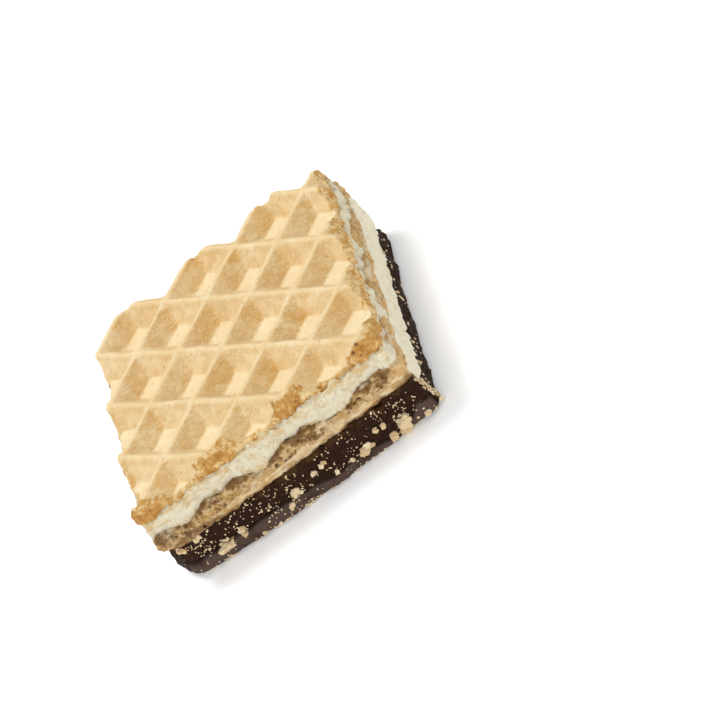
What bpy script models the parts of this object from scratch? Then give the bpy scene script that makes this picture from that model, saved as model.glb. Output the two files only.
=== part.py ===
"""A square piece of layered protein wafer: five layers on a chocolate base.

From the bottom up: chocolate with a lip up the front side, lower cream, a waffled
sheet inside, upper cream, and the waffled top sheet with its square pits. Metres, +Z up.
The piece rests on the flat underside of the chocolate, centred on the origin.
"""
import math
import random

import bmesh
import bpy
from mathutils import Matrix, Vector, noise
from mathutils.bvhtree import BVHTree

MM = 0.001

# Driving heights, in millimetres above the surface it rests on
CHOCOLATE_TOP = 2.95           # in the middle; it falls towards the back
CHOCOLATE_FALL = 0.014         # by this much for each millimetre of y
LIP_TOP = 5.3                  # chocolate that climbs the front side
LIP_RISE = 0.8                 # how much further it climbs at its left end
LIP_RISE_FROM = (-6.0, -15.0)  # x where that starts, and x where all of it is reached
LOWER_CREAM_TOP = 7.0
MIDDLE_FLOOR = 7.9             # the middle sheet between its ridges
MIDDLE_CREST = 8.9             # and on them
UPPER_CREAM_TOP = 9.7
TOP_FLOOR = 10.8               # bottom of the pits of the top sheet
TOP_CREST = 13.0
GAP = 0.3                      # air between layers that touch
SLOPE_GAP = 1.7                # times the gap, straight up, where the layers slope

# The waffle pattern: a square lattice of ridges, turned 45 degrees to the sides
PITCH = 7.74                   # from ridge to ridge
CREST_WIDTH = 0.6
FLOOR_WIDTH = 3.3
TOP_NODE = (-0.39, -1.39)      # where two ridges of the top sheet cross
MIDDLE_NODE = (2.9, 2.1)       # the same, on the middle sheet
CELLS = 8

# The inner sheet dips towards the front side: share of the dip from y to y
DIP = 0.9
DIP_PROFILE = ((-12.5, 0.0), (-15.0, 0.35), (-17.5, 0.95), (-21.0, 1.0))

# Plan of each layer: x, y and rounding of the front-left, front-right, back-right and
# back-left corners
TOP_PLAN = ((-18.0, -17.0, 1.6), (18.1, -18.4, 1.6), (18.6, 19.5, 1.4), (-17.4, 20.3, 1.6))
UPPER_PLAN = ((-18.2, -17.7, 1.6), (18.1, -19.2, 1.6), (18.9, 19.1, 1.4), (-17.6, 19.7, 1.6))
MIDDLE_PLAN = ((-18.4, -18.2, 1.6), (18.2, -19.6, 1.6), (19.1, 18.6, 1.4), (-17.9, 19.3, 1.6))
LOWER_PLAN = ((-18.2, -16.9, 3.2), (18.2, -18.6, 1.6), (19.3, 17.9, 1.4), (-18.0, 19.1, 1.6))
BASE_PLAN = ((-19.3, -18.2, 5.4), (18.2, -20.7, 1.5), (19.4, 17.1, 4.2), (-19.2, 20.1, 3.0))
BASE_BOW = 0.7                 # how far the chocolate's front side bulges
LIP_THICKNESS = 0.9
LIP_SHOULDER = 0.3             # how far below its top the lip starts to round off
LIP_CLEARANCE = 0.45           # from the lower cream to the inside of the lip
LIP_END = -0.6                 # the lip ends where a corner's outward y is above this
BEYOND = 60.0                  # reach of a cutter that has to pass the whole piece

STEP = 1.25                    # spacing of the points along an outline
ROUGH_LENGTH = 3.2             # length of the unevenness along a broken edge

# Crumbs stuck to the chocolate's front side: x, height and half length
FRONT_CRUMBS = ((-16.9, 4.4, 0.6), (-14.3, 5.0, 0.4), (-13.0, 1.8, 0.5), (-12.0, 2.1, 0.8),
                (-9.4, 2.5, 0.6), (-7.6, 0.8, 0.4), (-2.8, 1.7, 0.5), (-1.5, 2.7, 0.6),
                (1.8, 3.4, 0.4), (3.0, 3.7, 0.4), (4.0, 2.0, 0.4), (6.2, 1.9, 0.4),
                (7.9, 1.9, 0.6), (9.2, 1.9, 0.4), (10.6, 3.3, 0.4), (11.7, 3.2, 0.5),
                (11.8, 1.3, 0.6), (13.3, 0.8, 0.7), (13.8, 2.0, 1.0), (16.5, 0.9, 0.5))
RIGHT_CRUMBS = 10
RIGHT_SIZES = (0.35, 0.6)      # half length of those on the right side

FRONT = 0                      # the first side of an outline

COLOURS = {
    "wafer_top": ((0.83, 0.60, 0.30), 0.75),
    "cream_upper": ((0.84, 0.78, 0.63), 0.85),
    "wafer_middle": ((0.50, 0.30, 0.11), 0.85),
    "cream_lower": ((0.80, 0.71, 0.52), 0.85),
    "chocolate_base": ((0.045, 0.022, 0.014), 0.45),
}


def clear_scene():
    for obj in list(bpy.data.objects):
        bpy.data.objects.remove(obj, do_unlink=True)


def make_material(name):
    """The Principled material of one layer."""
    colour, roughness = COLOURS[name]
    material = bpy.data.materials.new(name)
    material.use_nodes = True
    shader = material.node_tree.nodes["Principled BSDF"]
    shader.inputs["Base Color"].default_value = (*colour, 1.0)
    shader.inputs["Roughness"].default_value = roughness
    shader.inputs["Metallic"].default_value = 0.0
    return material


def make_object(name, bm, material=None):
    """Put a bmesh, built in millimetres, into the scene in metres."""
    bmesh.ops.scale(bm, vec=(MM, MM, MM), verts=bm.verts)
    bmesh.ops.recalc_face_normals(bm, faces=bm.faces)
    mesh = bpy.data.meshes.new(name)
    bm.to_mesh(mesh)
    bm.free()
    if material:
        mesh.materials.append(material)
    obj = bpy.data.objects.new(name, mesh)
    bpy.context.scene.collection.objects.link(obj)
    return obj


def make_cutter(name, bm):
    """A helper solid that only takes part in Booleans."""
    cutter = make_object(name, bm)
    cutter.hide_render = True
    cutter.display_type = "WIRE"
    return cutter


def add_boolean(obj, cutter, operation):
    boolean = obj.modifiers.new(operation.title(), "BOOLEAN")
    boolean.operation = operation
    boolean.object = cutter


def rounded_corner(corner, before, after, radius):
    """Points of the arc that replaces a corner."""
    start = corner + (before - corner).normalized() * radius
    end = corner + (after - corner).normalized() * radius
    steps = max(2, round(radius / STEP * 1.6))
    points = []
    for step in range(steps + 1):
        t = step / steps
        points.append(start.lerp(corner, t).lerp(corner.lerp(end, t), t))
    return points


def outline(plan, bow=0.0):
    """Points round a plan, each with its outward direction."""
    corners = [Vector(corner[:2]) for corner in plan]
    arcs = []
    for index, corner in enumerate(corners):
        before, after = corners[index - 1], corners[(index + 1) % 4]
        arcs.append(rounded_corner(corner, before, after, plan[index][2]))
    points = []
    for side in range(4):
        start, end = arcs[side][-1], arcs[(side + 1) % 4][0]
        points.extend(arcs[side][:-1])
        outward = Vector(((end - start).y, -(end - start).x)).normalized()
        steps = round((end - start).length / STEP)
        for step in range(steps):
            t = step / steps
            bulge = bow * math.sin(math.pi * t) if side == FRONT else 0.0
            points.append(start.lerp(end, t) + outward * bulge)
    count = len(points)
    around = []
    for index, point in enumerate(points):
        along = points[(index + 1) % count] - points[index - 1]
        around.append((point, Vector((along.y, -along.x)).normalized()))
    return around


def rough(point, height, seed, amount):
    """How far a broken side stands out at one place."""
    place = Vector((point.x, point.y, height * 1.5)) / ROUGH_LENGTH + Vector((seed, seed, seed))
    return amount * (noise.noise(place) + 0.5 * noise.noise(place * 2.3))


def dip(y):
    """How far the inner sheet lies below its plain height at one y."""
    before = DIP_PROFILE[0]
    for after in DIP_PROFILE[1:]:
        if y > after[0]:
            t = max(0.0, (before[0] - y) / (before[0] - after[0]))
            return DIP * (before[1] + (after[1] - before[1]) * t)
        before = after
    return DIP


def chocolate_top(y):
    """Height of the chocolate under the cream at one y."""
    return CHOCOLATE_TOP - CHOCOLATE_FALL * y


def apply_modifiers(obj):
    """Turn an object's modifiers into its mesh."""
    graph = bpy.context.evaluated_depsgraph_get()
    mesh = bpy.data.meshes.new_from_object(obj.evaluated_get(graph))
    obj.modifiers.clear()
    obj.data = mesh


def bend_down(obj, lowest, highest):
    """Lower what lies between two heights along the dip, in straight strips of y."""
    apply_modifiers(obj)
    bm = bmesh.new()
    bm.from_mesh(obj.data)
    for y, _share in DIP_PROFILE[:-1]:
        bmesh.ops.bisect_plane(bm, geom=bm.verts[:] + bm.edges[:] + bm.faces[:],
                               plane_co=(0.0, y * MM, 0.0), plane_no=(0.0, 1.0, 0.0))
    for vert in bm.verts:
        if lowest * MM <= vert.co.z <= highest * MM:
            vert.co.z -= dip(vert.co.y / MM) * MM
    bm.to_mesh(obj.data)
    bm.free()


def loft(around, rings, seed, amount):
    """A closed solid through rings of (height, inset, share of roughness)."""
    bm = bmesh.new()
    loops = []
    for height, inset, share in rings:
        loop = []
        for point, outward in around:
            out = rough(point, height, seed, amount * share) - inset
            place = point + outward * out
            loop.append(bm.verts.new((place.x, place.y, height)))
        loops.append(loop)
    count = len(around)
    for lower, upper in zip(loops, loops[1:]):
        for index in range(count):
            after = (index + 1) % count
            bm.faces.new((lower[index], lower[after], upper[after], upper[index]))
    bm.faces.new(list(reversed(loops[0])))
    bm.faces.new(loops[-1])
    return bm


def waffle(bottom, floor, crest, node):
    """A slab with square frustum pits, larger than the piece."""
    bm = bmesh.new()
    bmesh.ops.create_grid(bm, x_segments=CELLS, y_segments=CELLS, size=CELLS * PITCH / 2.0)
    cells = bm.faces[:]
    wall_width = (PITCH - CREST_WIDTH - FLOOR_WIDTH) / 2.0
    bmesh.ops.inset_individual(bm, faces=cells, thickness=CREST_WIDTH / 2.0,
                               use_even_offset=True)
    bmesh.ops.inset_individual(bm, faces=cells, thickness=wall_width, depth=floor - crest,
                               use_even_offset=True)
    border = [edge for edge in bm.edges if edge.is_boundary]
    skirt = bmesh.ops.extrude_edge_only(bm, edges=border)["geom"]
    rim = [item for item in skirt if isinstance(item, bmesh.types.BMVert)]
    bmesh.ops.translate(bm, vec=(0.0, 0.0, bottom - crest), verts=rim)
    rim_edges = [edge for edge in bm.edges if edge.is_boundary]
    bmesh.ops.edgeloop_fill(bm, edges=rim_edges)
    turn = Matrix.Rotation(math.radians(45.0), 4, "Z")
    bmesh.ops.transform(bm, matrix=Matrix.Translation((*node, crest)) @ turn, verts=bm.verts)
    return bm


def make_wafer_top():
    """The top sheet, cut by its broken outline, which leans back at the front."""
    name = "wafer_top"
    around = outline(TOP_PLAN)
    sheet = make_object(name, waffle(UPPER_CREAM_TOP + GAP, TOP_FLOOR, TOP_CREST, TOP_NODE),
                        make_material(name))
    bm = loft(around, ((UPPER_CREAM_TOP, 0.0, 1.0), (TOP_FLOOR + 0.2, 0.1, 1.0),
                       (TOP_CREST + 1.0, 0.7, 1.2)), seed=3.7, amount=0.55)
    cutter = make_cutter("top_outline", bm)
    add_boolean(sheet, cutter, "INTERSECT")
    return sheet


def make_wafer_middle():
    """The sheet between the creams, its ridges facing up."""
    name = "wafer_middle"
    around = outline(MIDDLE_PLAN)
    sheet = make_object(name, waffle(LOWER_CREAM_TOP + GAP, MIDDLE_FLOOR, MIDDLE_CREST,
                                     MIDDLE_NODE), make_material(name))
    bm = loft(around, ((LOWER_CREAM_TOP, 0.1, 1.0), (MIDDLE_FLOOR, 0.0, 1.0),
                       (MIDDLE_CREST + 1.0, 0.1, 1.0)), seed=8.2, amount=0.5)
    cutter = make_cutter("middle_outline", bm)
    add_boolean(sheet, cutter, "INTERSECT")
    bend_down(sheet, 0.0, TOP_CREST)
    return sheet


def make_cream_upper():
    """Cream between the sheets: it fills the middle sheet's pits."""
    name = "cream_upper"
    around = outline(UPPER_PLAN)
    bottom = MIDDLE_FLOOR + GAP
    middle = (bottom + UPPER_CREAM_TOP) / 2.0
    bm = loft(around, ((bottom, 0.05, 1.0), (middle, 0.0, 1.0), (UPPER_CREAM_TOP, 0.35, 1.0)),
              seed=5.1, amount=0.4)
    cream = make_object(name, bm, make_material(name))
    clearance = GAP * SLOPE_GAP
    ridges = make_cutter("middle_ridges", waffle(LOWER_CREAM_TOP, MIDDLE_FLOOR + clearance,
                                                 MIDDLE_CREST + clearance, MIDDLE_NODE))
    add_boolean(cream, ridges, "DIFFERENCE")
    bend_down(cream, 0.0, UPPER_CREAM_TOP - 0.1)
    return cream


def make_cream_lower():
    """Cream on the chocolate; it follows the inner sheet above and the chocolate below."""
    name = "cream_lower"
    bottom = CHOCOLATE_TOP + GAP
    rings = []
    for share, inset in ((0.0, 0.1), (0.35, 0.0), (0.7, 0.0), (1.0, 0.1)):
        rings.append((bottom + (LOWER_CREAM_TOP - bottom) * share, inset, 1.0))
    bm = loft(outline(LOWER_PLAN), rings, seed=6.4, amount=0.25)
    for vert in bm.verts:
        share = (LOWER_CREAM_TOP - vert.co.z) / (LOWER_CREAM_TOP - bottom)
        vert.co.z += (chocolate_top(vert.co.y) - CHOCOLATE_TOP) * share
    cream = make_object(name, bm, make_material(name))
    bend_down(cream, LOWER_CREAM_TOP - 0.1, TOP_CREST)
    return cream


def make_pocket():
    """What the chocolate leaves free: all above its top, behind the lip."""
    places = []
    for point, outward in outline(LOWER_PLAN):
        if outward.y < LIP_END:
            places.append(point + outward * LIP_CLEARANCE)
    first, last = places[0].y, places[-1].y
    for x, y in ((BEYOND, last), (BEYOND, BEYOND), (-BEYOND, BEYOND), (-BEYOND, first)):
        places.append(Vector((x, y)))
    bm = bmesh.new()
    floor = [bm.verts.new((place.x, place.y, chocolate_top(place.y))) for place in places]
    lid = bmesh.ops.extrude_face_region(bm, geom=[bm.faces.new(floor)])["geom"]
    top = [item for item in lid if isinstance(item, bmesh.types.BMVert)]
    bmesh.ops.translate(bm, vec=(0.0, 0.0, BEYOND), verts=top)
    return make_cutter("pocket", bm)


def crumb_mesh(draw, size):
    """One crumb: an uneven flattened ball."""
    bm = bmesh.new()
    bmesh.ops.create_icosphere(bm, subdivisions=1, radius=1.0)
    for vert in bm.verts:
        vert.co *= draw.uniform(0.75, 1.15)
    shape = Matrix.Diagonal((size, size * draw.uniform(0.5, 0.8), size * draw.uniform(0.5, 0.7), 1.0))
    bmesh.ops.transform(bm, matrix=shape, verts=bm.verts)
    return bm


def make_crumbs(base, around):
    """Crumbs that stick to the front and right sides of the chocolate."""
    draw = random.Random(41)
    front = [item for item in around if item[1].y < -0.5]
    right = [item for item in around if item[1].x > 0.8]
    wanted = []
    for x, height, size in FRONT_CRUMBS:
        point, outward = min(front, key=lambda item: abs(item[0].x - x))
        wanted.append((Vector((x, point.y)), outward, height, size))
    for _index in range(RIGHT_CRUMBS):
        point, outward = draw.choice(right)
        size = draw.uniform(*RIGHT_SIZES)
        wanted.append((point, outward, draw.uniform(size, CHOCOLATE_TOP - 2.0 * size), size))
    surface = BVHTree.FromPolygons([vert.co for vert in base.data.vertices],
                                   [face.vertices for face in base.data.polygons])
    crumbs = bpy.data.collections.new("crumbs")
    for index, (point, outward, height, size) in enumerate(wanted):
        away = Vector((*outward, 0.0))
        start = Vector((*point, height)) + away * 5.0
        place = surface.ray_cast(start * MM, -away)[0] / MM
        angle = math.atan2(outward.y, outward.x) + math.radians(90.0)
        turn = Matrix.Rotation(angle, 4, "Z") @ Matrix.Rotation(draw.uniform(-0.9, 0.9), 4, "Y")
        bm = crumb_mesh(draw, size)
        bmesh.ops.transform(bm, matrix=Matrix.Translation(place) @ turn, verts=bm.verts)
        crumb = make_object(f"crumb_{index}", bm)
        bpy.context.scene.collection.objects.unlink(crumb)
        crumbs.objects.link(crumb)
    return crumbs


def fuse(obj, extras):
    """Join a collection's solids to an object with one Boolean, and remove them."""
    union = obj.modifiers.new("Union", "BOOLEAN")
    union.operation = "UNION"
    union.solver = "MANIFOLD"
    union.operand_type = "COLLECTION"
    union.collection = extras
    apply_modifiers(obj)
    for extra in list(extras.objects):
        bpy.data.objects.remove(extra, do_unlink=True)
    bpy.data.collections.remove(extras)


def make_chocolate_base():
    """The chocolate slab with its front lip and the crumbs stuck to its sides."""
    name = "chocolate_base"
    around = outline(BASE_PLAN, BASE_BOW)
    rings = ((0.0, 0.75, 0.2), (0.25, 0.3, 0.5), (0.8, 0.0, 1.0), (1.6, 0.0, 1.0),
             (2.4, 0.12, 1.0), (3.2, 0.2, 1.0), (4.3, 0.3, 1.0),
             (LIP_TOP - LIP_SHOULDER, 0.5, 1.0), (LIP_TOP, LIP_THICKNESS, 0.4))
    bm = loft(around, rings, seed=2.3, amount=0.35)
    start, end = LIP_RISE_FROM
    for vert in bm.verts:
        share = (vert.co.z - CHOCOLATE_TOP) / (LIP_TOP - CHOCOLATE_TOP)
        along = (vert.co.x - start) / (end - start)
        vert.co.z += LIP_RISE * max(0.0, share) * min(1.0, max(0.0, along))
    base = make_object(name, bm, make_material(name))
    add_boolean(base, make_pocket(), "DIFFERENCE")
    apply_modifiers(base)
    crumbs = make_crumbs(base, around)
    bpy.context.scene.collection.children.link(crumbs)
    fuse(base, crumbs)
    return base


clear_scene()
make_chocolate_base()
make_cream_lower()
make_wafer_middle()
make_cream_upper()
make_wafer_top()
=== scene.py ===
"""Looks of a square piece of layered protein wafer that lies on its chocolate base."""
import math
import random

import bmesh
import bpy
from mathutils import Euler, Matrix, Vector, noise
from mathutils.bvhtree import BVHTree


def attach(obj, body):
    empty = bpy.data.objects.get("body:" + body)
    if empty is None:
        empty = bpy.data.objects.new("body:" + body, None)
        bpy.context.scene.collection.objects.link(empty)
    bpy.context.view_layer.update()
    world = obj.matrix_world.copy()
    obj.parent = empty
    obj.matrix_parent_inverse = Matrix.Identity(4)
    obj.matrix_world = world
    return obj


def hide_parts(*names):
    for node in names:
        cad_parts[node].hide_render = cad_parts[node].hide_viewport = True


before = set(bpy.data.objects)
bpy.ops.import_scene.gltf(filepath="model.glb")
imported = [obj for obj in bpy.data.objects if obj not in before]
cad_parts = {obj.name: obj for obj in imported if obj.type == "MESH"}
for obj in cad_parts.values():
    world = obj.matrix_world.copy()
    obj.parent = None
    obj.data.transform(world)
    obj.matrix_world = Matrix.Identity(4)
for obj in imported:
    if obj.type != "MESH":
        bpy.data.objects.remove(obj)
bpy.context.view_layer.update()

# ---------------------------------------------------------------------------
# Top sheet
# Baked batter, pressed between two hot irons into a lattice of square pits. Its faces are
# pale and fine; where the piece was cut and broken it is brown and full of small holes.
# ---------------------------------------------------------------------------
# Lengths are in millimetres, and MM turns them into the metres that Blender counts in.
MM = 0.001
SHEET_CORNERS = ((-18.0, -17.0), (18.1, -18.4), (18.6, 19.5), (-17.4, 20.3))
SHEET_UNDERSIDE = 10.25
SHEET_FACE = 0.19
SHEET_ROUNDS = 13
PITCH = 7.74
RIDGE_CROSSING = (-0.39, -1.39)
HIDDEN_REACH = 15.5
HOLLOW_DEPTH = 0.35
FOOT_SWELL = 0.4
EDGE_SINK = 0.4
SHEET_BEND = 0.22
# Where a change over the sheet starts, and where it is full
BROWN_FRONT = (-10.0, -13.0)
BROWN_RIGHT = (9.0, 13.0)
CUT_REACH = (1.8, 2.6)
FOOT_REACH = (0.4, 1.9)
FOOT_HEIGHT = (11.4, 12.8)
CREST_HEIGHT = (11.6, 12.6)


def make_object(name, bm):
    """Put a bmesh into the scene as an object of its own."""
    mesh = bpy.data.meshes.new(name)
    bm.to_mesh(mesh)
    bm.free()
    obj = bpy.data.objects.new(name, mesh)
    bpy.context.scene.collection.objects.link(obj)
    return obj


def step(low, high, value):
    """0 below low, 1 above high, and smooth in between."""
    share = min(1.0, max(0.0, (value - low) / (high - low)))
    return share * share * (3.0 - 2.0 * share)


def lumps(place, size, seed=0.0):
    """Smooth noise from about -1 to 1 with lumps of one size, in millimetres."""
    return noise.noise(place / size + Vector((seed, -seed, seed)))


def pores(place, size, low, high, seed=0.0):
    """1 in the middle of each hole of a sponge, 0 between the holes."""
    nearest = noise.voronoi(place / size + Vector((seed, seed, -seed)))[0][0]
    return 1.0 - step(low, high, nearest)


def edge_distance(place, corners):
    """How far a place lies inside a four-sided plan."""
    nearest = None
    for index, (x, y) in enumerate(corners):
        after = corners[(index + 1) % 4]
        along = Vector((after[0] - x, after[1] - y)).normalized()
        inside = along.x * (place.y - y) - along.y * (place.x - x)
        nearest = inside if nearest is None else min(nearest, inside)
    return nearest


def deep_inside(place):
    """Whether a place of a layer is too far in to be seen from a side."""
    return max(abs(place.x), abs(place.y)) < HIDDEN_REACH


def in_pit(place):
    """Where a place lies in its pit: -1 to 1 from left to right and from front to back."""
    x, y = place.x - RIDGE_CROSSING[0], place.y - RIDGE_CROSSING[1]
    shares = [across * math.sqrt(0.5) / PITCH for across in (x - y, x + y)]
    return [2.0 * (share - math.floor(share)) - 1.0 for share in shares]


def finished(obj):
    """What an object's modifiers make of it, as a bmesh; the object goes."""
    bm = bmesh.new()
    bm.from_object(obj, bpy.context.evaluated_depsgraph_get())
    bpy.data.objects.remove(obj, do_unlink=True)
    return bm


def skin_of(node, face, rounds, keep, hidden):
    """A node's form again as one closed skin of small even faces, fewer where hidden."""
    bm = bmesh.new()
    bm.from_mesh(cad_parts[node].data)
    bmesh.ops.remove_doubles(bm, verts=bm.verts, dist=0.001 * MM)
    form = make_object(node + "_form", bm)
    remesh = form.modifiers.new("Skin", "REMESH")
    remesh.mode = "VOXEL"
    remesh.voxel_size = face * MM
    form = make_object(node + "_skin", finished(form))
    unseen = [vert.index for vert in form.data.vertices if hidden(vert.co / MM)]
    form.vertex_groups.new(name="unseen").add(unseen, 1.0, "REPLACE")
    decimate = form.modifiers.new("Thin", "DECIMATE")
    decimate.ratio = keep
    decimate.vertex_group = "unseen"
    decimate.vertex_group_factor = 10.0
    decimate.use_collapse_triangulate = True
    skin = finished(form)
    for _round in range(rounds):
        bmesh.ops.smooth_vert(skin, verts=skin.verts, factor=0.5,
                              use_axis_x=True, use_axis_y=True, use_axis_z=True)
    return skin


def relief(skin, masks, shape):
    """Move each point as shape says, in millimetres, and keep the masks it gives."""
    skin.normal_update()
    layers = [skin.verts.layers.float.new(mask) for mask in masks]
    for vert in skin.verts:
        move, *values = shape(vert.co / MM, vert.normal)
        vert.co += move * MM
        for layer, value in zip(layers, values):
            vert[layer] = value
    for face in skin.faces:
        face.smooth = True


class Value:
    """A shader socket; arithmetic on it adds Math nodes."""

    def __init__(self, finish, socket):
        self.finish = finish
        self.socket = socket

    def math(self, operation, *others):
        """What one Math node makes of this value and others."""
        return self.finish.node("ShaderNodeMath", {"operation": operation},
                                dict(enumerate((self, *others))))

    def __add__(self, other):
        return self.math("ADD", other)

    def __sub__(self, other):
        return self.math("SUBTRACT", other)

    def __rsub__(self, other):
        return self.math("MULTIPLY", -1.0).math("ADD", other)

    def __mul__(self, other):
        return self.math("MULTIPLY", other)

    def __truediv__(self, other):
        return self.math("DIVIDE", other)

    __radd__ = __add__
    __rmul__ = __mul__

    def band(self, low, high):
        """0 below low, 1 above high, and smooth in between; high may be the lower one."""
        return self.finish.node("ShaderNodeMapRange", {"interpolation_type": "SMOOTHSTEP"},
                                {"Value": self, "From Min": low, "From Max": high})


class Finish:
    """A material under construction: a Principled shader and the nodes that feed it."""

    def __init__(self, name, roughness, **settings):
        self.material = bpy.data.materials.new(name)
        self.material.use_nodes = True
        self.tree = self.material.node_tree
        self.shader = self.tree.nodes["Principled BSDF"]
        self.shader.inputs["Roughness"].default_value = roughness
        for socket, value in settings.items():
            self.shader.inputs[socket.replace("_", " ")].default_value = value
        self.place = self.node("ShaderNodeTexCoord", {}, {}, "Object")

    def node(self, kind, settings, sockets, output=0):
        """Add a node: its settings first, then values or links for its sockets."""
        node = self.tree.nodes.new(kind)
        for name, value in settings.items():
            setattr(node, name, value)
        for name, value in sockets.items():
            socket = node.inputs[name]
            if isinstance(value, Value):
                self.tree.links.new(value.socket, socket)
            elif isinstance(value, tuple) and len(value) == 3 and socket.type == "RGBA":
                socket.default_value = (*value, 1.0)
            else:
                socket.default_value = value
        return Value(self, node.outputs[output])

    def feed(self, socket, value):
        """Link a value to a socket of the shader."""
        self.tree.links.new(value.socket, self.shader.inputs[socket])

    def mask(self, name):
        """A mask that relief has kept on the points, from 0 to 1."""
        return self.node("ShaderNodeAttribute", {"attribute_name": name}, {}, "Fac")

    def stretched(self, factors, turn=0.0):
        """The place, turned about Z by some degrees, then stretched along each axis."""
        return self.node("ShaderNodeMapping", {"vector_type": "TEXTURE"},
                         {"Vector": self.place, "Rotation": (0.0, 0.0, math.radians(turn)),
                          "Scale": factors})

    def cloud(self, size, detail=3.0, rough=0.55, shift=0.0, place=None, twist=0.0):
        """Noise from 0 to 1 with lumps of about one size, in millimetres."""
        moved = self.node("ShaderNodeVectorMath", {"operation": "ADD"},
                          {0: place or self.place, 1: (shift, shift, shift)})
        return self.node("ShaderNodeTexNoise", {},
                         {"Vector": moved, "Scale": 1.0 / (size * MM), "Detail": detail,
                          "Roughness": rough, "Distortion": twist})

    def specks(self, size, radius, share):
        """1 on small dots, of which only a share of the cells has one."""
        sockets = {"Vector": self.place, "Scale": 1.0 / (size * MM)}
        near = self.node("ShaderNodeTexVoronoi", {}, sockets, "Distance")
        which = self.node("ShaderNodeTexVoronoi", {}, sockets, "Color")
        chosen = self.node("ShaderNodeSeparateColor", {}, {0: which}, 0)
        return near.band(radius, radius * 0.5) * chosen.band(share + 0.02, share - 0.02)

    def mix(self, factor, low, high):
        """A colour between two, by a factor."""
        return self.node("ShaderNodeMix", {"data_type": "RGBA"},
                         {"Factor": factor, "A": low, "B": high}, 2)

    def level(self):
        """The height above the floor, in millimetres."""
        return self.node("ShaderNodeSeparateXYZ", {}, {"Vector": self.place}, 2) / MM

    def bump(self, height, depth):
        """A normal from a height of 0 to 1 that stands for a depth in millimetres."""
        return self.node("ShaderNodeBump", {},
                         {"Height": height, "Distance": depth * MM, "Strength": 1.0})


def shade_and_toast(place, normal, to_ridge):
    """Painted shade and toast on a pit's walls: most on the left, away from the key light, least
    along a crest.
    """
    right, back = in_pit(place)
    slope = step(0.25, 0.45, abs(normal.z)) * (1.0 - step(0.84, 0.98, abs(normal.z)))
    # Painted shade: the left walls face away from the key light, so they are painted darker and
    # more golden, most towards the back of the pit; the tone also varies at random.
    shaded_left_wall = step(0.1, 0.7, (normal.x - normal.y) * math.sqrt(0.5))
    left_shade_and_tone = 0.27 + 0.3 * step(-0.7, 0.5, back) + 0.2 * lumps(place, 6.0, 14.0)
    # All walls are painted darker than the floors, partly for their toast and partly as painted
    # shade, and the painted shade fades towards the right of the pit; crests are toasted.
    wall_shade_and_toast = slope * (0.5 - 0.2 * step(-0.6, 0.8, right) + shaded_left_wall * (left_shade_and_tone - 0.2))
    wall_shade_and_toast *= 1.0 + 0.5 * lumps(place, 1.4, 13.0)
    wall_shade_and_toast = max(wall_shade_and_toast, 0.5 * step(*CREST_HEIGHT, place.z))
    return wall_shade_and_toast * (0.68 + 0.32 * step(0.0, 0.5, to_ridge))


def sheet_shape(place, normal):
    """Fine baked faces, and torn holes where the sheet was broken."""
    inside = edge_distance(place, SHEET_CORNERS)
    steep = 1.0 - step(0.3, 0.5, abs(normal.z))
    worn = 1.0 - step(0.0, 0.9, inside + 1.1 * lumps(place, 1.5, 4.0))
    cut = max(steep * (1.0 - step(*CUT_REACH, inside)), worn * 0.9)
    front, right_side = step(*BROWN_FRONT, place.y), step(*BROWN_RIGHT, place.x)
    turned_away = step(0.5, 0.8, max(-normal.x, normal.y))
    shown = 0.15 + 0.85 * max(right_side, front, turned_away)
    to_ridge = (1.0 - max(abs(share) for share in in_pit(place))) * PITCH / 2.0
    foot = (1.0 - step(*FOOT_REACH, to_ridge)) * (1.0 - step(*FOOT_HEIGHT, place.z))
    foot *= 0.25 + 0.75 * front
    # Holes in the torn edge, sunk in and kept as a mask for painted shade inside them.
    hollow = pores(place, 0.8, 0.08, 0.36, 1.0) * step(0.0, 0.5, lumps(place, 1.9, 9.0))
    torn = 0.13 * lumps(place, 0.36, 3.0) + 0.2 * lumps(place, 0.8, 5.0)
    torn += FOOT_SWELL * foot - 0.3 * abs(lumps(place, 1.6, 6.0)) - HOLLOW_DEPTH * hollow
    out = 0.03 * lumps(place, 0.7) + 0.07 * lumps(place, 3.5, 2.0) + cut * torn
    sink = EDGE_SINK * step(SHEET_UNDERSIDE + 0.2, SHEET_UNDERSIDE - 0.25, place.z)
    bent = Vector((SHEET_BEND * lumps(place, 4.5, 11.0),
                   SHEET_BEND * lumps(place, 4.5, 12.0), -sink))
    # Painted shade and toast for the pit walls, kept as a mask for the colour
    wall_shade_and_toast = shade_and_toast(place, normal, to_ridge)
    return normal * out + bent, cut * shown, hollow * cut, wall_shade_and_toast, foot


skin = skin_of("wafer_top", SHEET_FACE, SHEET_ROUNDS, 0.5,
               lambda place: place.z < SHEET_UNDERSIDE and deep_inside(place))
relief(skin, ("cut", "hollow", "wall_shade_and_toast", "foot"), sheet_shape)
top_sheet = make_object("top_sheet", skin)

PALE = (0.93, 0.79, 0.51)
GOLD = (0.80, 0.56, 0.26)
DEEP_GOLD = (0.72, 0.42, 0.13)
TOAST = (0.62, 0.36, 0.11)
TORN_PALE = (0.86, 0.66, 0.35)
CRUMB_TAN = (0.80, 0.55, 0.23)
TORN_BROWN = (0.58, 0.30, 0.065)
CRUMB_BROWN_AND_SHADE = (0.42, 0.18, 0.03)
HOLE_SHADE = (0.15, 0.062, 0.013)

baked = Finish("baked_wafer", 0.75, Specular_IOR_Level=0.3, Subsurface_Weight=0.12,
               Subsurface_Scale=0.6 * MM, Subsurface_Radius=(1.0, 0.9, 0.75))
wall_shade_and_toast = baked.mask("wall_shade_and_toast")
wrinkle = baked.cloud(0.42, 3.0, 0.65, 0.0, baked.stretched((2.5, 1.0, 1.3), 10.0), 1.5)
patch = baked.cloud(4.0, 5.0, 0.65, 0.03)
mottle = baked.cloud(0.8, 4.0, 0.65, 0.01)
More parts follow.
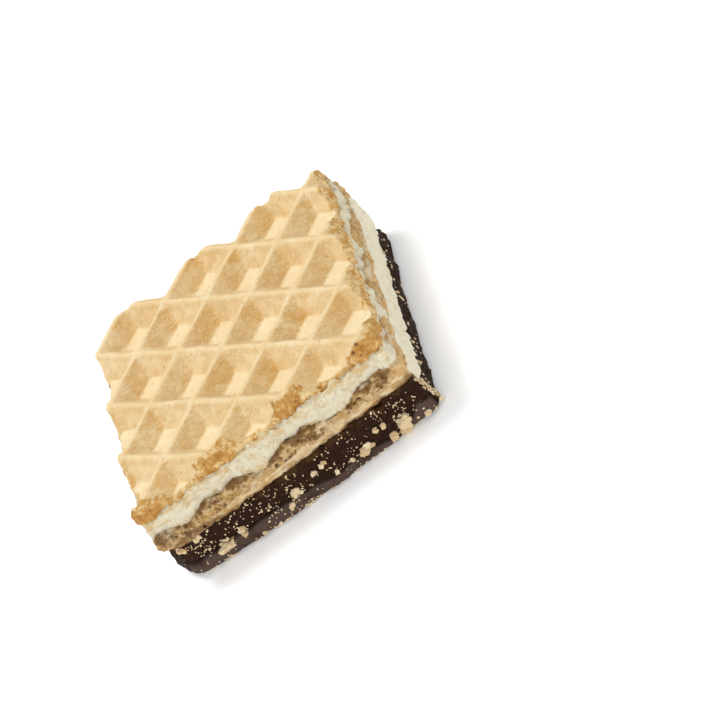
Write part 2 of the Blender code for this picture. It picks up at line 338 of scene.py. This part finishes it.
# GOLD and DEEP_GOLD on the walls stand partly for toast and partly for painted shade, by the wall
# mask.
colour = baked.mix(wall_shade_and_toast * 0.6 + patch.band(0.3, 0.75) * 0.35, PALE, GOLD)
colour = baked.mix((wall_shade_and_toast - 0.15) * patch.band(0.25, 0.65) * 1.1, colour, DEEP_GOLD)
colour = baked.mix(mottle.band(0.4, 0.75) * 0.45, colour, GOLD)
lined = wall_shade_and_toast.band(0.3, 0.6)
colour = baked.mix(wrinkle.band(0.5, 0.62) * (lined * 0.34 + 0.08), colour, DEEP_GOLD)
colour = baked.mix(wrinkle.band(0.46, 0.36) * (lined * 0.25 + 0.08), colour, PALE)
colour = baked.mix(baked.specks(1.3, 0.17, 0.25) * 0.7, colour, TOAST)
torn = baked.mix(baked.cloud(1.3, 6.0, 0.65, 0.02).band(0.38, 0.62), TORN_PALE, CRUMB_TAN)
toasted = (baked.cloud(1.1, 6.0, 0.75, 0.05) - 0.5) * 1.4 + baked.mask("foot") * 0.17 + 0.54
torn = baked.mix(toasted.band(0.48, 0.64), torn, TORN_BROWN)
torn = baked.mix(toasted.band(0.66, 0.86), torn, CRUMB_BROWN_AND_SHADE)
torn = baked.mix(baked.cloud(0.35, 3.0, 0.7, 0.06).band(0.5, 0.8) * 0.35, torn, PALE)
# Painted shade inside the holes of the torn edge.
torn = baked.mix(baked.mask("hollow"), torn, HOLE_SHADE)
colour = baked.mix((baked.mask("cut") + mottle * 0.9 - 0.45).band(0.2, 0.6), colour, torn)
baked.feed("Base Color", colour)
height = (wrinkle - 0.5) * (lined * 0.7 + 0.2) + baked.cloud(0.35, 4.0, 0.7, 0.04) * 0.45
baked.feed("Normal", baked.bump(height, 0.28))
top_sheet.data.materials.append(baked.material)
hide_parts("wafer_top")
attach(top_sheet, "root")

# ---------------------------------------------------------------------------
# Upper cream
# Whipped protein cream between the two sheets. It was soft when the piece was cut, so its
# sides are torn and cottony, with fine wafer dust rubbed into them.
# ---------------------------------------------------------------------------
CREAM_FACE = 0.15
MIDDLE_FLOOR = 7.9
SHEET_DIP = 0.9
DIP_REACH = (-12.5, -17.5)
RIGHT_EDGE = (14.5, 16.5)
TOP_FLARE = 0.3
LOW_FLARE = 0.35
RIGHT_FLARE = 0.2
RIGHT_SAG = 0.45


def run_on(place, normal):
    """How far the top and the underside reach up or down into their neighbours."""
    reach = 0.55 + 0.5 * lumps(place, 1.3, 9.0) + 0.35 * lumps(place, 0.45, 4.0)
    return math.copysign(reach * step(0.05, 0.5, abs(normal.z)), normal.z)


def cream_shape(place, normal):
    """Torn tufts on the sides; above and below it runs on into its neighbours."""
    side = 1.0 - step(0.3, 0.9, abs(normal.z))
    tuft = lumps(place, 0.9, 2.0) + 0.9 * lumps(place, 0.42, 5.0)
    above_sheet = place.z + SHEET_DIP * step(*DIP_REACH, place.y) - MIDDLE_FLOOR
    low_edge = 1.0 - step(0.3, 1.0, above_sheet)
    at_right = step(*RIGHT_EDGE, place.x)
    out = (0.17 * tuft + 0.12 * lumps(place, 2.6, 7.0) + 0.1 * lumps(place, 0.28, 1.0)) * side
    out += LOW_FLARE * low_edge + TOP_FLARE * step(9.2, 10.1, place.z) * step(0.3, 0.8, -normal.y)
    out += RIGHT_FLARE * low_edge * at_right
    sag = RIGHT_SAG * low_edge * at_right
    move = normal * out + Vector((0.0, 0.0, run_on(place, normal) - sag))
    # The first mask marks the dips between tufts, where shade is painted.
    return move, step(-0.2, 0.9, -tuft), step(0.5, 0.8, normal.x)


skin = skin_of("cream_upper", CREAM_FACE, 2, 0.35, deep_inside)
relief(skin, ("hollow", "right"), cream_shape)
upper_cream = make_object("upper_cream", skin)

CREAM_WHITE = (0.95, 0.87, 0.66)
CREAM_SHADE = (0.72, 0.59, 0.37)
CREAM_TAN = (0.79, 0.53, 0.21)
CREAM_GLOW = {"Subsurface_Scale": 0.6 * MM, "Subsurface_Radius": (1.0, 0.95, 0.85)}

cream = Finish("whipped_cream", 0.85, Specular_IOR_Level=0.25, Subsurface_Weight=0.3,
               **CREAM_GLOW)
height = cream.level()
smear = cream.cloud(1.0, 6.0, 0.75, 0.05, cream.stretched((1.8, 1.8, 1.0)))
rim = height.band(9.1, 10.0) * 1.2 + height.band(8.6, 7.4)
fuzz = cream.cloud(0.22, 3.0, 0.7, 0.09)
# Painted shade in the dips between tufts, with a fine darker fuzz.
shade = cream.mask("hollow") * 0.5 + fuzz.band(0.45, 0.8) * 0.3
colour = cream.mix(shade, CREAM_WHITE, CREAM_SHADE)
tan_share = (smear + rim * 0.06).band(0.5, 0.66) * (0.8 - cream.mask("right") * 0.45)
colour = cream.mix(tan_share, colour, CREAM_TAN)
colour = cream.mix(cream.specks(0.8, 0.15, 0.2) * 0.8, colour, TOAST)
cream.feed("Base Color", colour)
cream.feed("Normal", cream.bump(cream.cloud(0.2, 4.0, 0.75), 0.24))
upper_cream.data.materials.append(cream.material)
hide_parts("cream_upper")
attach(upper_cream, "root")

# ---------------------------------------------------------------------------
# Inner sheet
# A second waffled sheet, seen only from its broken sides: brown, brittle and full of
# holes, with a bump wherever one of its ridges was cut through.
# ---------------------------------------------------------------------------
PORE_DEPTH = 0.55
FINE_PORE_DEPTH = 0.2
RIGHT_SIDE = (15.6, 17.0)


def core_shape(place, normal):
    """A torn sponge on the sides."""
    side = 1.0 - abs(normal.z)
    # Pores, sunk in and kept as a mask for painted shade inside them.
    hollow = pores(place, 0.8, 0.14, 0.42, 3.0) * step(-0.35, 0.15, lumps(place, 2.4, 5.0))
    fine = pores(place, 0.45, 0.12, 0.4, 8.0)
    out = 0.3 * lumps(place, 0.5, 1.0) + 0.3 * lumps(place, 1.9, 4.0)
    out -= (PORE_DEPTH * hollow + FINE_PORE_DEPTH * fine) * step(0.2, 0.7, side)
    swell = 0.25 + 0.2 * step(*RIGHT_EDGE, place.x)
    move = normal * (out * (0.3 + 0.7 * side) + swell * (1.0 - side))
    return move, max(hollow, 0.8 * fine), step(*RIGHT_SIDE, place.x)


skin = skin_of("wafer_middle", CREAM_FACE, 1, 0.35, deep_inside)
relief(skin, ("hollow", "right"), core_shape)
inner_sheet = make_object("inner_sheet", skin)

CORE_TAN = (0.74, 0.52, 0.26)
CORE_BROWN = (0.55, 0.32, 0.105)
CORE_DARK = (0.17, 0.08, 0.022)
CORE_FLECK = (0.20, 0.095, 0.025)
CORE_GOLD = (0.79, 0.51, 0.21)
CREAM_TRACE = (0.85, 0.74, 0.52)

core = Finish("torn_wafer", 0.85, Specular_IOR_Level=0.25)
right = core.mask("right")
cluster = core.cloud(1.7, 5.0, 0.65, 0.04) + core.level().band(6.9, 8.0) * 0.16 - right * 0.14
fleck = core.cloud(0.3, 4.0, 0.7, 0.03)
smear = core.cloud(1.5, 4.0, 0.6, 0.09, core.stretched((3.0, 3.0, 1.0))) + right * 0.04
colour = core.mix(core.cloud(1.1, 5.0, 0.65, 0.07).band(0.4, 0.62), CORE_TAN, CORE_BROWN)
colour = core.mix(cluster.band(0.52, 0.63) * 0.85, colour, CORE_DARK)
colour = core.mix(fleck.band(0.52, 0.66) * 0.6, colour, CORE_FLECK)
colour = core.mix(right * 0.62, colour, CORE_GOLD)
colour = core.mix(smear.band(0.55, 0.7) * 0.8, colour, CREAM_TRACE)
# Painted shade inside the pores, less of it on the right side.
colour = core.mix(core.mask("hollow") * (1.0 - right * 0.65), colour, HOLE_SHADE)
core.feed("Base Color", colour)
core.feed("Normal", core.bump(core.cloud(0.25, 4.0, 0.65), 0.22))
inner_sheet.data.materials.append(core.material)
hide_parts("wafer_middle")
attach(inner_sheet, "root")

# ---------------------------------------------------------------------------
# Lower cream
# A thick grainy layer of the same cream on the chocolate. Its cut right side is white; at
# the front, above the chocolate's lip, it is coated with tan wafer dust in fine streaks.
# ---------------------------------------------------------------------------
LIP_LENGTH = 38.0
LIP_EDGE = 5.35
LEFT_RISE = 0.8
LEFT_RISE_REACH = (-6.0, -15.0)
OVERHANG = 1.05
OVERHANG_BOW = 0.35


def lower_cream_shape(place, normal):
    """Grains on the cut sides, streaks along the coated front."""
    flat = abs(normal.z)
    coated = step(0.4, 0.8, -normal.y)
    grain = 0.2 * lumps(place, 0.45, 2.0) + 0.26 * lumps(place, 1.1, 5.0)
    streak = lumps(Vector((place.x * 0.25, place.y, place.z)), 0.35, 3.0)
    coat = 0.2 * streak + 0.12 * lumps(place, 0.8, 1.0)
    out = grain * (1.0 - coated) + coat * coated
    # Dips of the grains and of the streaks, kept as a mask for painted shade.
    hollow = step(0.1, 0.5, -grain) * (1.0 - coated) * 0.4
    hollow = max(step(0.15, 0.8, -streak) * coated, hollow)
    out *= 1.0 - 0.7 * flat
    bow = max(0.0, math.cos(math.pi * place.x / LIP_LENGTH))
    over = (OVERHANG + OVERHANG_BOW * bow) * (1.0 - 0.6 * step(5.5, 6.6, place.z))
    over *= step(4.7, 5.3, place.z)
    move = normal * out + Vector((0.0, -over * coated, run_on(place, normal)))
    lip = LIP_EDGE + LEFT_RISE * step(*LEFT_RISE_REACH, place.x) + 0.4 * lumps(place, 1.3, 6.0)
    foot = (1.0 - step(-0.1, 0.6, place.z - lip)) * coated
    return move, coated, hollow, foot


skin = skin_of("cream_lower", CREAM_FACE, 2, 0.35, deep_inside)
relief(skin, ("coated", "hollow", "foot"), lower_cream_shape)
lower_cream = make_object("lower_cream", skin)

DUST_PALE = (0.84, 0.66, 0.38)
DUST_TAN = (0.60, 0.36, 0.13)
DUST_CREAM = (0.88, 0.76, 0.53)
LIP_BAND_DARK = (0.22, 0.10, 0.028)

coat = Finish("coated_cream", 0.85, Specular_IOR_Level=0.25, Subsurface_Weight=0.2,
              **CREAM_GLOW)
coated = coat.mask("coated")
# Painted shade in the dips of the grains.
white = coat.mix(coat.mask("hollow"), CREAM_WHITE, CREAM_SHADE)
white = coat.mix(coat.cloud(1.8, 4.0, 0.6, 0.05).band(0.55, 0.75) * 0.6, white, CREAM_TAN)
along = coat.stretched((5.0, 1.0, 1.0))
dusty = coat.mix(coat.cloud(0.45, 4.0, 0.65, 0.02, along).band(0.42, 0.6), DUST_PALE, DUST_TAN)
dusty = coat.mix(coat.cloud(1.6, 4.0, 0.6, 0.06).band(0.5, 0.66) * 0.6, dusty, DUST_CREAM)
# Painted shade in the dips of the streaks.
dusty = coat.mix(coat.mask("hollow") * 0.6, dusty, CRUMB_BROWN_AND_SHADE)
# Darker in a ragged band just above the chocolate's lip.
lip_band = coat.mask("foot") * (coat.cloud(0.35, 3.0, 0.7, 0.08) * 1.2 + 0.2)
dusty = coat.mix(lip_band.band(0.2, 0.9) * 0.9, dusty, LIP_BAND_DARK)
coat.feed("Base Color", coat.mix(coated, white, dusty))
coat.feed("Normal", coat.bump(coat.cloud(0.26, 4.0, 0.7), 0.2))
lower_cream.data.materials.append(coat.material)
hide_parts("cream_lower")
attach(lower_cream, "root")

# ---------------------------------------------------------------------------
# Chocolate base
# Dark chocolate that was poured under the piece and drawn up its front side. Its sides are
# broken: a dark upper tier, a greyer lower one, and a crack between them.
# ---------------------------------------------------------------------------
CHOCOLATE_FACE = 0.17
# Places x, height that the crack on the front side runs through
CRACK = ((-20.0, 2.4), (-1.0, 2.3), (3.0, 1.7), (9.0, 1.6), (12.0, 0.8), (16.0, 2.4), (20.0, 2.4))
CRACK_DEPTH = 0.5
LIP_FOOT = 3.6
NOTCH_X = 12.6
NOTCH_DEPTH = 0.7
# Crumbs stuck to the front side: x, height, half size and number of grains
STUCK = ((-16.9, 4.4, 0.5, 10), (-14.3, 5.0, 0.35, 2), (-13.0, 1.8, 0.45, 9), (-12.0, 2.1, 0.8, 28),
         (-9.4, 2.5, 0.55, 14), (-7.6, 0.8, 0.25, 1), (-2.8, 1.7, 0.38, 1), (-1.5, 2.7, 0.6, 16),
         (1.8, 3.4, 0.4, 3), (3.0, 3.7, 0.35, 2), (4.0, 2.0, 0.3, 1), (6.2, 1.9, 0.3, 1),
         (7.9, 1.9, 0.5, 2), (9.2, 1.9, 0.28, 1), (10.6, 3.3, 0.34, 1), (11.7, 3.2, 0.34, 1),
         (11.8, 1.3, 0.5, 1), (13.3, 0.8, 0.75, 24), (13.8, 2.0, 0.9, 1), (16.5, 0.9, 0.4, 1))


def crack_height(x):
    """Where the crack runs along the front side."""
    before = CRACK[0]
    for after in CRACK[1:]:
        if x < after[0]:
            share = (x - before[0]) / (after[0] - before[0])
            run = Vector((x, 0.0, 0.0))
            return before[1] + (after[1] - before[1]) * share + 0.3 * lumps(run, 1.3, 6.0)
        before = after
    return before[1]


def dusted(place):
    """1 beside the stuck crumbs, 0 away from them."""
    most = 0.0
    for x, height, size, _grains in STUCK:
        away = math.hypot(place.x - x, place.z - height)
        most = max(most, 1.0 - step(0.7 * size, 1.5 * size, away))
    return most


def chocolate_shape(place, normal):
    """A broken side with a crack; the underside stays flat."""
    side = 1.0 - step(0.5, 0.9, abs(normal.z))
    front = step(0.5, 0.9, -normal.y)
    above = place.z - crack_height(place.x)
    crack = (1.0 - step(0.0, 0.2, abs(above))) * front
    lower = (1.0 - step(-0.05, 0.1, above)) * front
    grain = 0.09 * lumps(place, 0.38, 2.0) + 0.1 * lumps(place, 0.8, 4.0)
    out = grain + 0.12 * lumps(place, 2.4, 7.0) - CRACK_DEPTH * crack + 0.15 * lower
    run = Vector((place.x, 0.0, 0.0))
    ragged = 0.4 * lumps(run, 1.7, 3.0) + 0.35 * lumps(run, 0.6, 8.0)
    ragged -= NOTCH_DEPTH * (1.0 - step(0.3, 1.0, abs(place.x - NOTCH_X)))
    lip = step(LIP_FOOT, LIP_FOOT + 1.2, place.z)
    move = normal * (out * side * step(0.0, 0.5, place.z)) + Vector((0.0, 0.0, ragged * lip))
    rim, dust = step(0.3, 0.8, normal.z) * lip, dusted(place) * step(-0.2, -0.6, normal.y)
    return move, lower, crack, rim, dust


skin = skin_of("chocolate_base", CHOCOLATE_FACE, 1, 0.4,
               lambda place: deep_inside(place) or place.z < 0.1)
relief(skin, ("lower", "crack", "rim", "dust"), chocolate_shape)
chocolate_tree = BVHTree.FromBMesh(skin)
chocolate = make_object("chocolate", skin)

CHOCOLATE_DARK = (0.023, 0.008, 0.0035)
CHOCOLATE_GREY = (0.098, 0.064, 0.052)
CHOCOLATE_DUST = (0.13, 0.06, 0.024)
CHOCOLATE_FLECK = (0.45, 0.27, 0.12)
CRACK_SHADE = (0.008, 0.003, 0.002)
RIM_BROWN = (0.13, 0.06, 0.02)
CRUMB_PALE = (0.86, 0.72, 0.48)

dark = Finish("dark_chocolate", 0.65, Specular_IOR_Level=0.1)
tone = dark.cloud(2.5, 4.0, 0.6, 0.02)
powder = dark.cloud(0.3, 3.0, 0.7, 0.05)
colour = dark.mix(dark.mask("lower") * tone.band(0.2, 0.6), CHOCOLATE_DARK, CHOCOLATE_GREY)
colour = dark.mix(dark.cloud(0.3, 4.0, 0.7).band(0.5, 0.75) * 0.6, colour, CHOCOLATE_DUST)
colour = dark.mix(dark.specks(0.5, 0.16, 0.16), colour, CHOCOLATE_FLECK)
powder = dark.mask("dust") * 0.6 + powder - 0.5
colour = dark.mix(powder.band(0.35, 0.55) * 0.85, colour, CRUMB_PALE)
# Painted shade in the crack.
colour = dark.mix(dark.mask("crack") * 0.8, colour, CRACK_SHADE)
colour = dark.mix(dark.mask("rim") * tone.band(0.4, 0.6) * 0.6, colour, RIM_BROWN)
dark.feed("Base Color", colour)
dark.feed("Roughness", dark.cloud(0.7, 3.0, 0.6).band(0.3, 0.7) * 0.3 + 0.5)
dark.feed("Normal", dark.bump(dark.cloud(0.3, 4.0, 0.7), 0.16))
chocolate.data.materials.append(dark.material)
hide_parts("chocolate_base")
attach(chocolate, "root")

# ---------------------------------------------------------------------------
# Crumbs
# Grains and flakes of baked sheet that fell on the chocolate while it was soft and set in
# it: a few large ones, clusters of small ones, and fine grit, most of it along the bottom.
# ---------------------------------------------------------------------------
FROM_FRONT = Vector((0.0, 1.0, 0.0))
FROM_RIGHT = Vector((-1.0, 0.0, 0.0))
FROM_CORNER = Vector((-0.7071, 0.7071, 0.0))
FROM_LEFT = Vector((1.0, 0.0, 0.0))
FROM_BACK = Vector((0.0, -1.0, 0.0))
START = 30.0
# Half sizes of the finest grit and of small grains, smallest and largest
FINE_GRIT = (0.05, 0.11)
SMALL_GRAINS = (0.07, 0.15)


def land(place, heading):
    """Where the chocolate is met from outside at one place, and which way is out there."""
    hit, outward, _face, _far = chocolate_tree.ray_cast((place - heading * START) * MM, heading)
    return hit, outward


def add_grain(bm, draw, hit, outward, size, stretch, facets):
    """A crumb of uneven shape, pressed flat against what it stuck to."""
    seed = Vector((draw.uniform(0.0, 90.0), draw.uniform(0.0, 90.0), 0.0))
    grain = bmesh.ops.create_icosphere(bm, subdivisions=facets, radius=1.0)["verts"]
    for vert in grain:
        vert.co *= 1.0 + 0.75 * noise.noise(vert.co * 1.3 + seed) + draw.uniform(-0.12, 0.12)
    thick = draw.uniform(0.4, 0.7)
    shape = Matrix.Diagonal((size * stretch * MM, size * MM, size * thick * MM, 1.0))
    spin = Matrix.Rotation(draw.uniform(0.0, math.tau), 4, "Z")
    upright = outward.to_track_quat("Z", "Y").to_matrix().to_4x4()
    place = hit + outward * size * thick * 0.3 * MM
    bmesh.ops.transform(bm, matrix=Matrix.Translation(place) @ upright @ spin @ shape, verts=grain)
    value = draw.random()
    for vert in grain:
        vert[bm.verts.layers.float["tan"]] = value


def scatter(bm, draw, count, heading, low, high, sizes, gather):
    """Fine grit between two corners of a box, denser where the gathering noise is high."""
    for _index in range(count):
        place = Vector([draw.uniform(*pair) for pair in zip(low, high)])
        size = draw.uniform(*sizes) * (1.7 if draw.random() < 0.12 else 1.0)
        stretch = draw.uniform(1.5, 2.2) if draw.random() < 0.12 else draw.uniform(1.0, 1.4)
        if lumps(place, 3.0, 5.0) < draw.uniform(-0.5, 0.4) * gather:
            continue
        hit, outward = land(place, heading)
        if hit and hit.z > size * MM:
            add_grain(bm, draw, hit, outward, size, stretch, 1)


draw = random.Random(7)
bm = bmesh.new()
bm.verts.layers.float.new("tan")
for x, height, size, grains in STUCK:
    if grains < 3:
        for index in range(grains):
            place = Vector((x + index * size * 1.3, 0.0, height + index * size * 0.5))
            hit, outward = land(place, FROM_FRONT)
            add_grain(bm, draw, hit, outward, size * 0.85, 1.25, 3)
        continue
    for _index in range(grains):
        angle, far = draw.uniform(0.0, math.tau), size * draw.random() ** 0.6 * 1.2
        place = Vector((x + math.cos(angle) * far, 0.0, height + math.sin(angle) * far * 0.7))
        hit, outward = land(place, FROM_FRONT)
        if hit and hit.z > 0.1 * MM:
            add_grain(bm, draw, hit, outward, draw.uniform(0.1, 0.3), 1.3, 2)
scatter(bm, draw, 760, FROM_FRONT, (-18.0, 0.0, 0.2), (18.0, 0.0, 5.4), FINE_GRIT, 1.0)
scatter(bm, draw, 420, FROM_FRONT, (-17.5, 0.0, 0.12), (18.0, 0.0, 0.55), SMALL_GRAINS, 0.7)
scatter(bm, draw, 60, FROM_RIGHT, (0.0, -19.0, 0.2), (0.0, 16.0, 3.1), SMALL_GRAINS, 1.0)
scatter(bm, draw, 60, FROM_RIGHT, (0.0, -19.0, 2.1), (0.0, 16.0, 3.2), (0.09, 0.2), 1.4)
scatter(bm, draw, 70, FROM_CORNER, (18.0, -20.2, 0.3), (19.4, -18.8, 4.4), (0.1, 0.2), 0.3)
scatter(bm, draw, 90, FROM_LEFT, (0.0, -14.0, 0.2), (0.0, 18.0, 2.9), SMALL_GRAINS, 1.0)
scatter(bm, draw, 90, FROM_BACK, (-17.0, 0.0, 0.2), (17.0, 0.0, 2.8), SMALL_GRAINS, 1.0)
crumbs = make_object("crumbs", bm)

GRIT_TAN = (0.58, 0.36, 0.15)
GRIT_SPOT = (0.62, 0.40, 0.19)

grit = Finish("wafer_crumbs", 0.8, Specular_IOR_Level=0.25)
colour = grit.mix(grit.mask("tan") * 0.8, CRUMB_PALE, GRIT_TAN)
colour = grit.mix(grit.cloud(0.25, 3.0, 0.6).band(0.45, 0.75) * 0.5, colour, GRIT_SPOT)
grit.feed("Base Color", colour)
grit.feed("Normal", grit.bump(grit.cloud(0.16, 3.0, 0.6), 0.08))
crumbs.data.materials.append(grit.material)
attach(crumbs, "root")

# ---------------------------------------------------------------------------
# Floor, lights and camera
# White paper under an even white sky, a soft key light from above and behind, and a wide
# fill light in front. A long lens looks down at the front side and a little of the right.
# ---------------------------------------------------------------------------
FLOOR_REACH = 2000.0
FLOOR_DROP = 0.05
PAPER = ((0.9, 0.9, 0.9), (0.91, 0.91, 0.91))
WHITE = (1.0, 1.0, 1.0, 1.0)

bm = bmesh.new()
bmesh.ops.create_grid(bm, x_segments=1, y_segments=1, size=FLOOR_REACH * MM)
bmesh.ops.translate(bm, vec=(0.0, 0.0, -FLOOR_DROP * MM), verts=bm.verts)
floor = make_object("floor", bm)
paper = Finish("floor_paper", 0.9, Emission_Color=WHITE, Emission_Strength=0.22)
paper.feed("Base Color", paper.mix(paper.cloud(40.0).band(0.3, 0.7), *PAPER))
floor.data.materials.append(paper.material)

bpy.context.scene.view_settings.view_transform = "Standard"
SKY_STRENGTH = 0.6
world = bpy.data.worlds.new("studio")
bpy.context.scene.world = world
world.use_nodes = True
sky = world.node_tree.nodes["Background"]
sky.inputs["Color"].default_value = WHITE
sky.inputs["Strength"].default_value = SKY_STRENGTH


def add_light(name, direction, distance, size, power):
    """A square soft light that looks at the piece; distance and size are in metres."""
    light = bpy.data.lights.new(name, "AREA")
    light.size = size
    light.energy = power
    lamp = bpy.data.objects.new(name, light)
    place = Vector(direction).normalized() * distance
    turned = place.to_track_quat("Z", "Y").to_matrix().to_4x4()
    lamp.matrix_world = Matrix.Translation(place) @ turned
    bpy.context.scene.collection.objects.link(lamp)


add_light("key", (-0.28, 0.42, 0.86), 0.6, 0.2, 1.75)
add_light("fill", (0.08, -0.85, 0.45), 0.8, 0.5, 1.8)

# In metres, and in degrees about X, Y and Z
CAMERA_PLACE = (0.1144, -0.3874, 0.2498)
CAMERA_TURN = (47.839, 37.781, -13.909)
CAMERA_LENS = 200.0
lens = bpy.data.cameras.new("camera")
lens.lens = CAMERA_LENS
lens.sensor_width = 36.0
lens.clip_start = 0.01
camera = bpy.data.objects.new("camera", lens)
turned = Euler([math.radians(turn) for turn in CAMERA_TURN]).to_matrix().to_4x4()
camera.matrix_world = Matrix.Translation(CAMERA_PLACE) @ turned
bpy.context.scene.collection.objects.link(camera)
bpy.context.scene.camera = camera
